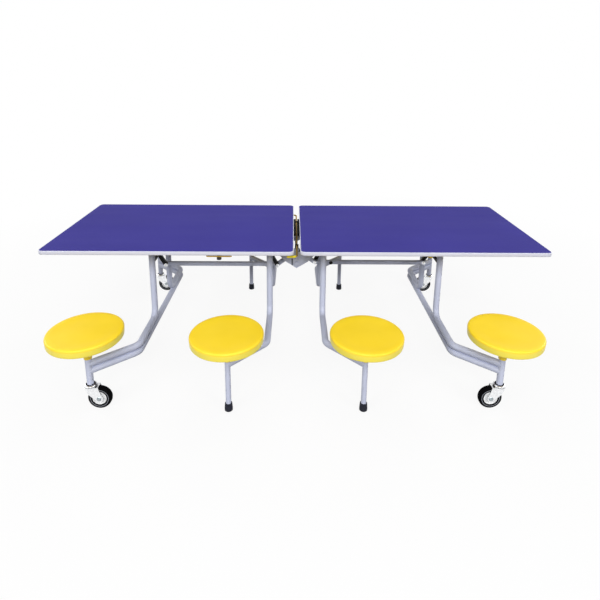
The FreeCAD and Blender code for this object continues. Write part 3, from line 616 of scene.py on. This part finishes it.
class TABLE_OT_casters(bpy.types.Operator):
    """Shape the swivel forks, the wheels and the tyres"""

    bl_idname = "table.casters"
    bl_label = "Casters"

    # Wheel points in mm: radius from the tyre's bore, its tread or the axle, width from its side
    tyre_wall = ((0, -2.5), (2, -1), (7, -0.9), (7.4, -0.3), (9.8, -0.3), (10.2, -0.9))
    tyre_tread = ((-5, -1), (-1.6, -4), (0, -9))
    tyre_ring = (7.1 * MM, 10.1 * MM)
    hub_boss = ((5.1, 0), (9, 0), (11, -2), (12, -6))
    hub_rim = ((-8, -6), (-5, -2.5), (-4, -1.6), (-0.6, -1.6), (0, -2.6))
    # Swivel points in mm: radius, and height from the base or the top of the swivel
    swivel_dish = (
        (0, 0), (26, 0), (27, 0.5), (27, 1.6), (24, 2), (24, 4.8), (28, 5.2), (28, 7), (25.5, 9.8),
        (22, 11.4), (20.5, 11.5), (19.5, 10.4), (18, 8.6), (16, 8.4),
    )
    swivel_neck = ((15.4, 0), (13, 0))
    swivel_height = 12 * MM
    stem_radius = 13 * MM
    stem_length = 52 * MM
    # Radius of a band of painted shade on the swivel, and its heights from the base of the swivel
    lower_shade_band = (26 * MM, 1.7 * MM, 5.1 * MM)
    upper_shade_band = (20.2 * MM, 8 * MM, 12 * MM)
    # Side plates: distances along the trail, with bends in mm from the post and the axle
    heel = -20 * MM
    nose = 38 * MM
    heel_drop = 8 * MM
    heel_bend = ((-6, 22), (9, 8))
    nose_bend = ((46, 29),)
    foot_arc = range(220, 385, 12)
    plate = 3 * MM
    plate_gap = 1.5 * MM
    crown_inset = 0.2 * MM
    crown_drop = 0.1 * MM
    axle_radius = 5 * MM
    nut_start = 0.1 * MM
    steps = 72

    def execute(self, context):
        for side in SIDES:
            for end in ENDS:
                self.wheel(f"{side}_{end}")
                self.fork(side, end, context.scene.table_look.sizes)
        return {"FINISHED"}

    def wheel(self, corner):
        size = cad_size(f"{corner}_tyre")
        axle = cad_middle(f"{corner}_tyre")
        bore = cad_size(f"{corner}_wheel_hub").x / 2
        radius, half = size.x / 2, size.y / 2
        wall = millimetres(self.tyre_wall, bore, half)
        profile = wall + millimetres(self.tyre_tread, radius, half)
        tyre = self.turned(profile, corner, "tyre_tread", "tyre", "tyre")
        ring_start, ring_end = self.tyre_ring

        def on_ring(face):
            spoke = face.center - axle
            return ring_start < math.hypot(spoke.x, spoke.z) - bore < ring_end

        repaint(tyre, "tyre_ring", on_ring)
        boss = millimetres(self.hub_boss, up=half)
        profile = boss + millimetres(self.hub_rim, bore, half)
        self.turned(profile, corner, "wheel_centre", "wheel_hub", "wheel_hub")

    def turned(self, profile, corner, name, slot, replaced):
        """Spin a wheel part from the profile of one side and lay it on its axle."""
        bm = bmesh.new()
        spun(bm, mirrored(profile), self.steps, closed=True)
        quarter_turned(bm, "X")
        bmesh.ops.translate(bm, verts=bm.verts, vec=cad_middle(f"{corner}_wheel_hub"))
        return as_piece(bm, f"{corner}_{name}", slot, f"{corner}_wheel", [f"{corner}_{replaced}"])

    def fork(self, side, end, sizes):
        """Two side plates, a crown, a dished swivel with painted shade in its groove and round its
        neck, and the axle's nuts.
        """
        node = f"{side}_{end}_caster_fork"
        _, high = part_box(node)
        post = cad_middle(f"{side}_outer_{end}_seat")
        axle = cad_middle(f"{side}_{end}_wheel_hub")
        trail = abs(axle.x - post.x)
        inside = cad_size(f"{side}_{end}_tyre").y / 2 + self.plate_gap
        outside = inside + self.plate
        top = high.z - self.stem_length
        base = top - self.swivel_height
        bm = bmesh.new()
        spun(bm, [
            *millimetres(self.swivel_dish, up=base), *millimetres(self.swivel_neck, up=top),
            (self.stem_radius, high.z), (0, high.z),
        ], self.steps)
        leg = self.leg(base, trail, axle.z, sizes.fork_foot)
        prism(bm, leg, -outside, -inside)
        prism(bm, leg, inside, outside)
        back, front = self.heel + self.crown_inset, self.nose - self.crown_inset
        under, over = base - self.plate, base - self.crown_drop
        crown = [(front, under), (front, over), (back, over), (back, under)]
        prism(bm, crown, self.crown_inset - outside, outside - self.crown_inset)
        drum(bm, Vector((trail, inside, axle.z)), FORWARD, self.axle_radius, 2 * inside)
        for face in (FORWARD, -FORWARD):
            bolt_head(bm, Vector((trail, 0, axle.z)) + face * outside, face, sizes.bolt_head)
        bmesh.ops.scale(bm, verts=bm.verts, vec=(1 if axle.x > post.x else -1, 1, 1))
        bmesh.ops.translate(bm, verts=bm.verts, vec=(post.x, post.y, 0))
        fork = as_piece(bm, f"{node}_plated", "caster_zinc", f"{side}_{end}_fork", [node])

        # Painted shade: the swivel's groove and the hollow round its neck get the tyres' dark
        # rubber.
        def in_painted_shade(face):
            around, height = (face.center - post).xy.length, face.center.z - base
            shade_bands = (self.lower_shade_band, self.upper_shade_band)
            return any(around < wide and low < height < up for wide, low, up in shade_bands)

        def on_axle(face):
            proud = abs(face.center.y - post.y) > outside + self.nut_start
            return proud and face.center.z < axle.z + sizes.fork_foot

        repaint(fork, "tyre", in_painted_shade)
        repaint(fork, "axle_zinc", on_axle)

    def leg(self, base, trail, axle, foot):
        """Outline of a side plate from the swivel's base down round the axle and up again."""
        angles = [math.radians(step) for step in self.foot_arc]
        return [
            (self.heel, base), (self.heel, base - self.heel_drop),
            *millimetres(self.heel_bend, up=axle),
            *((trail + foot * math.cos(angle), axle + foot * math.sin(angle)) for angle in angles),
            *millimetres(self.nose_bend, up=axle), (self.nose, base),
        ]


class TABLE_OT_feet(bpy.types.Operator):
    """Turn the rubber feet with a wide sole, grip grooves and a socket for the post"""

    bl_idname = "table.feet"
    bl_label = "Rubber feet"

    # Points in mm: radius from the sole's or the neck's, height from the floor, a groove or the top
    sole = ((-2, 0), (0, 2), (0, 8))
    groove = ((0, 0), (-0.9, 1), (-0.9, 2), (0, 3))
    neck = ((0, -2), (-1, 0))
    neck_inset = 2 * MM
    socket_wall = 4.1 * MM
    grooves = 3
    first_groove = 11 * MM
    groove_pitch = 7 * MM
    groove_taper = 0.6 * MM
    steps = 64

    def execute(self, context):
        for side in SIDES:
            node = f"{side}_inner_feet"
            low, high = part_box(node)
            post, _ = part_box(f"{side}_inner_posts")
            profile = self.profile((high.x - low.x) / 2, high.z - low.z, post.z - low.z)
            bm = bmesh.new()
            for end in ENDS:
                seat = cad_middle(f"{side}_inner_{end}_seat")
                earlier = set(bm.verts)
                spun(bm, profile, self.steps)
                foot = [vert for vert in bm.verts if vert not in earlier]
                bmesh.ops.translate(bm, verts=foot, vec=(seat.x, seat.y, low.z))
            as_piece(bm, f"{node}_ribbed", "rubber", f"{side}_inner_frame", [node])
        return {"FINISHED"}

    def profile(self, radius, height, socket):
        """Outline of a foot that narrows upwards, from the sole to the floor of its socket."""
        neck = radius - self.neck_inset
        bore = neck - self.socket_wall
        run = [(0, 0), *millimetres(self.sole, radius)]
        for step in range(self.grooves):
            start = self.first_groove + step * self.groove_pitch
            run += millimetres(self.groove, radius - step * self.groove_taper, start)
        run += millimetres(self.neck, neck, height)
        return run + [(bore, height), (bore, socket), (0, socket)]


class TABLE_OT_fittings(bpy.types.Operator):
    """Ease the edges of brackets, plates, bars, lugs, screws and the latch"""

    bl_idname = "table.fittings"
    bl_label = "Fittings"

    eased = (
        "pivot_brackets", "pivot_bolts", "bracket_screws", "hinge_plates", "hinge_shaft",
        "stretcher", "stretcher_lugs", "latch_base", "latch_bar",
    )

    def execute(self, context):
        width = context.scene.table_look.sizes.edge_ease
        for subpart in frame["record"]["subparts"]:
            if subpart["node"].endswith(self.eased):
                self.eased_copy(subpart["node"], subpart["material_slot"], width)
        return {"FINISHED"}

    def eased_copy(self, node, slot, width):
        """Replace a CAD node by a merged copy with its sharp edges bevelled."""
        solid = frame["nodes"][node]
        bm = bmesh.new()
        bm.from_mesh(solid.data)
        bmesh.ops.remove_doubles(bm, verts=bm.verts, dist=SAME_SPOT)
        bmesh.ops.dissolve_limit(bm, angle_limit=FLAT_ANGLE, verts=bm.verts, edges=bm.edges)
        ease_sharp(bm, width)
        look = self.look(node, slot)
        as_piece(bm, f"{node}_eased", slot, solid["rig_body"], [node], look)

    def look(self, node, slot):
        """Hinge plates have a look of their own, the lugs are painted black all over as painted
        shade, and the others take that of their slot.
        """
        if node.endswith("hinge_plates"):
            side = node.split("_")[0]
            return f"{side}_plate"
        # Painted shade: the lugs' grey paint gives way to black, for the shade they lie in under
        # the tabletop.
        return "black_steel" if node.endswith("stretcher_lugs") else slot


class TABLE_OT_bolts(bpy.types.Operator):
    """Bolt the lugs to the stretchers, and put the single dark bolt on the right stretcher"""

    bl_idname = "table.bolts"
    bl_label = "Stretcher bolts"

    bolt_height = 10 * MM
    lug_bolt_offset = 38 * MM
    stop_bolt_place = 194 * MM
    head_ease = 0.4 * MM

    def execute(self, context):
        across = context.scene.table_look.sizes.bolt_head
        for side in SIDES:
            bar_low, bar_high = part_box(f"{side}_stretcher")
            lug_low, lug_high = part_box(f"{side}_stretcher_lugs")
            front, rear = min(bar_low.y, lug_low.y), max(bar_high.y, lug_high.y)
            height = bar_low.z + self.bolt_height
            bm = bmesh.new()
            for place in FRAMES:
                crossbar = cad_middle(f"{side}_{place}_crossbar").x
                x = crossbar - math.copysign(self.lug_bolt_offset, crossbar)
                bolt_head(bm, Vector((x, front, height)), FORWARD, across)
                bolt_head(bm, Vector((x, rear, height)), -FORWARD, across)
            ease_sharp(bm, self.head_ease)
            as_piece(bm, f"{side}_lug_bolts", "fastener", f"{side}_stretcher")
        low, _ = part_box("right_stretcher")
        spot = Vector((self.stop_bolt_place, low.y, low.z + self.bolt_height))
        bm = bmesh.new()
        bolt_head(bm, spot, FORWARD, across)
        ease_sharp(bm, self.head_ease)
        as_piece(bm, "right_stop_bolt", "fastener", "right_stretcher", look="black_steel")
        return {"FINISHED"}


class TABLE_OT_grip(bpy.types.Operator):
    """Slip a soft sleeve over the front arm of the release rod"""

    bl_idname = "table.grip"
    bl_label = "Rod grip"

    # Points in mm: radius from the rod's, distance from the arm's tip or the sleeve's end
    tip = ((0.9, -0.4), (1.2, 2))
    cuff = ((1.2, -4), (0.8, -1), (0.1, 0))
    cap = 1.5 * MM
    clearance = 0.1 * MM
    sleeve_end = -5 * MM
    steps = 40

    def execute(self, context):
        low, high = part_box("release_rod")
        rod = (high.z - low.z) / 2
        length = self.sleeve_end - low.x
        bm = bmesh.new()
        spun(bm, [
            (0, -self.cap), (rod, -self.cap), *millimetres(self.tip, rod),
            *millimetres(self.cuff, rod, length),
            (rod + self.clearance, -self.clearance), (0, -self.clearance),
        ], self.steps)
        quarter_turned(bm, "Y")
        bmesh.ops.translate(bm, verts=bm.verts, vec=(low.x, low.y + rod, low.z + rod))
        as_piece(bm, "release_rod_grip", "yellow_steel", "release_rod", look="grip")
        return {"FINISHED"}


class TABLE_OT_stage(bpy.types.Operator):
    """Set up the floor, the soft light and the camera"""

    bl_idname = "table.stage"
    bl_label = "Stage"

    # Name, place and size in m, and power in W
    softboxes = (
        ("overhead_light", (0, -0.3, 4.0), (4.5, 3.0), 54),
        ("front_key", (0, -7.2, 5.4), (3.2, 3.2), 370),
        ("left_fill", (-7.0, 3.4, 3.8), (2.5, 2.5), 140),
        ("right_fill", (7.0, 3.4, 3.8), (2.5, 2.5), 140),
        ("left_key", (-5.0, -5.4, 3.6), (2.5, 2.5), 185),
        ("right_key", (5.0, -5.4, 3.6), (2.5, 2.5), 185),
    )
    light_target = Vector((0, 0, 0.5))
    sky_light = 0.12
    floor_reach = 30
    floor_glow = 0.9
    floor_fade = (1.4, 3.5)
    # The photograph's camera: lengths in its pixels, angles in radians, place in m
    photo_size = 600
    focal_length = 476.795
    optical_row = 181.3
    pitch, yaw, roll = 0.2376, 0.0155, 0.0105
    viewpoint = (-0.02246, -2.4924, 1.5344)

    def execute(self, context):
        scene = context.scene
        scene.view_settings.view_transform = "Standard"
        self.floor(scene)
        self.sky(scene)
        for softbox in self.softboxes:
            self.softbox(scene, *softbox)
        self.camera(scene)
        return {"FINISHED"}

    def floor(self, scene):
        """Pale floor that keeps the shadow near the table and fades to white away from it."""
        bm = bmesh.new()
        bmesh.ops.create_grid(bm, x_segments=2, y_segments=2, size=self.floor_reach)
        mesh = bpy.data.meshes.new("floor")
        bm.to_mesh(mesh)
        bm.free()
        floor = bpy.data.objects.new("floor", mesh)
        scene.collection.objects.link(floor)
        finish = Finish("pale_floor", Roughness=0.9, Specular_IOR_Level=0.0)
        seen = self.seen(finish.tree)
        finish.feed("Base Color", finish.blend(seen, (0.2, 0.2, 0.2), (0.8, 0.8, 0.8)))
        length = {"operation": "LENGTH"}
        away = seen.node("ShaderNodeVectorMath", length, {0: finish.place}, "Value")
        fade = finish.window(away, *self.floor_fade)
        share = seen * (self.floor_glow + (1 - self.floor_glow) * fade)
        glow = seen.node("ShaderNodeEmission", {}, {"Color": (1, 1, 1, 1), "Strength": 1.0})
        lit = Thread(finish.tree, finish.shader.outputs[0])
        mixed = seen.node("ShaderNodeMixShader", {}, {0: share, 1: lit, 2: glow})
        surface = finish.tree.nodes["Material Output"].inputs["Surface"]
        finish.tree.links.new(mixed.socket, surface)
        mesh.materials.append(finish.material)

    def seen(self, tree):
        """One for rays that show the background straight, in gloss or through glass."""
        camera = Thread(tree).node("ShaderNodeLightPath", {}, {}, "Is Camera Ray")
        rays = camera.socket.node.outputs
        gloss = Thread(tree, rays["Is Glossy Ray"])
        through = Thread(tree, rays["Is Transmission Ray"])
        return camera.math("MINIMUM", camera + gloss + through, 1.0)

    def sky(self, scene):
        """World that is white where it is seen and gives only a little light."""
        world = bpy.data.worlds.new("white_studio")
        world.use_nodes = True
        tree = world.node_tree
        background = tree.nodes["Background"]
        background.inputs["Color"].default_value = (1, 1, 1, 1)
        strength = self.sky_light + (1 - self.sky_light) * self.seen(tree)
        tree.links.new(strength.socket, background.inputs["Strength"])
        scene.world = world

    def softbox(self, scene, name, spot, size, power):
        light = bpy.data.lights.new(name, "AREA")
        light.shape = "RECTANGLE"
        light.size, light.size_y = size
        light.energy = power
        lamp = bpy.data.objects.new(name, light)
        lamp.location = spot
        aim = self.light_target - lamp.location
        lamp.rotation_euler = aim.to_track_quat("-Z", "Y").to_euler()
        scene.collection.objects.link(lamp)

    def camera(self, scene):
        """Stand where the photograph was taken, level with its tilt."""
        data = bpy.data.cameras.new("photo_camera")
        data.sensor_width = 36
        data.lens = self.focal_length / self.photo_size * data.sensor_width
        data.shift_y = (self.optical_row - self.photo_size / 2) / self.photo_size
        camera = bpy.data.objects.new("photo_camera", data)
        turn = (
            Matrix.Rotation(-self.yaw, 4, "Z")
            @ Matrix.Rotation(QUARTER_TURN - self.pitch, 4, "X")
            @ Matrix.Rotation(self.roll, 4, "Z")
        )
        camera.matrix_world = Matrix.Translation(self.viewpoint) @ turn
        scene.collection.objects.link(camera)
        scene.camera = camera


OPERATORS = (
    TABLE_OT_finishes, TABLE_OT_seats, TABLE_OT_casters, TABLE_OT_feet, TABLE_OT_fittings,
    TABLE_OT_bolts, TABLE_OT_grip, TABLE_OT_stage,
)


class TABLE_PT_sidebar(bpy.types.Panel):
    """Lists the table's settings and steps"""

    bl_idname = "TABLE_PT_sidebar"
    bl_label = "Seat table"
    bl_space_type = "VIEW_3D"
    bl_region_type = "UI"
    bl_category = "Seat table"

    def draw(self, context):
        look = context.scene.table_look
        for settings in (look.colours, look.sizes):
            for name in settings.__annotations__:
                self.layout.prop(settings, name)
        for operator in OPERATORS:
            self.layout.operator(operator.bl_idname)


CLASSES = (TableColours, TableSizes, TableLook, *OPERATORS, TABLE_PT_sidebar)


def register():
    for entry in CLASSES:
        bpy.utils.register_class(entry)
    bpy.types.Scene.table_look = PointerProperty(type=TableLook)


def unregister():
    del bpy.types.Scene.table_look
    for entry in reversed(CLASSES):
        bpy.utils.unregister_class(entry)


def main():
    register()
    bpy.ops.table.finishes()
    bpy.ops.table.seats()
    bpy.ops.table.casters()
    bpy.ops.table.feet()
    bpy.ops.table.fittings()
    bpy.ops.table.bolts()
    bpy.ops.table.grip()
    bpy.ops.table.stage()


if __name__ == "__main__":
    main()
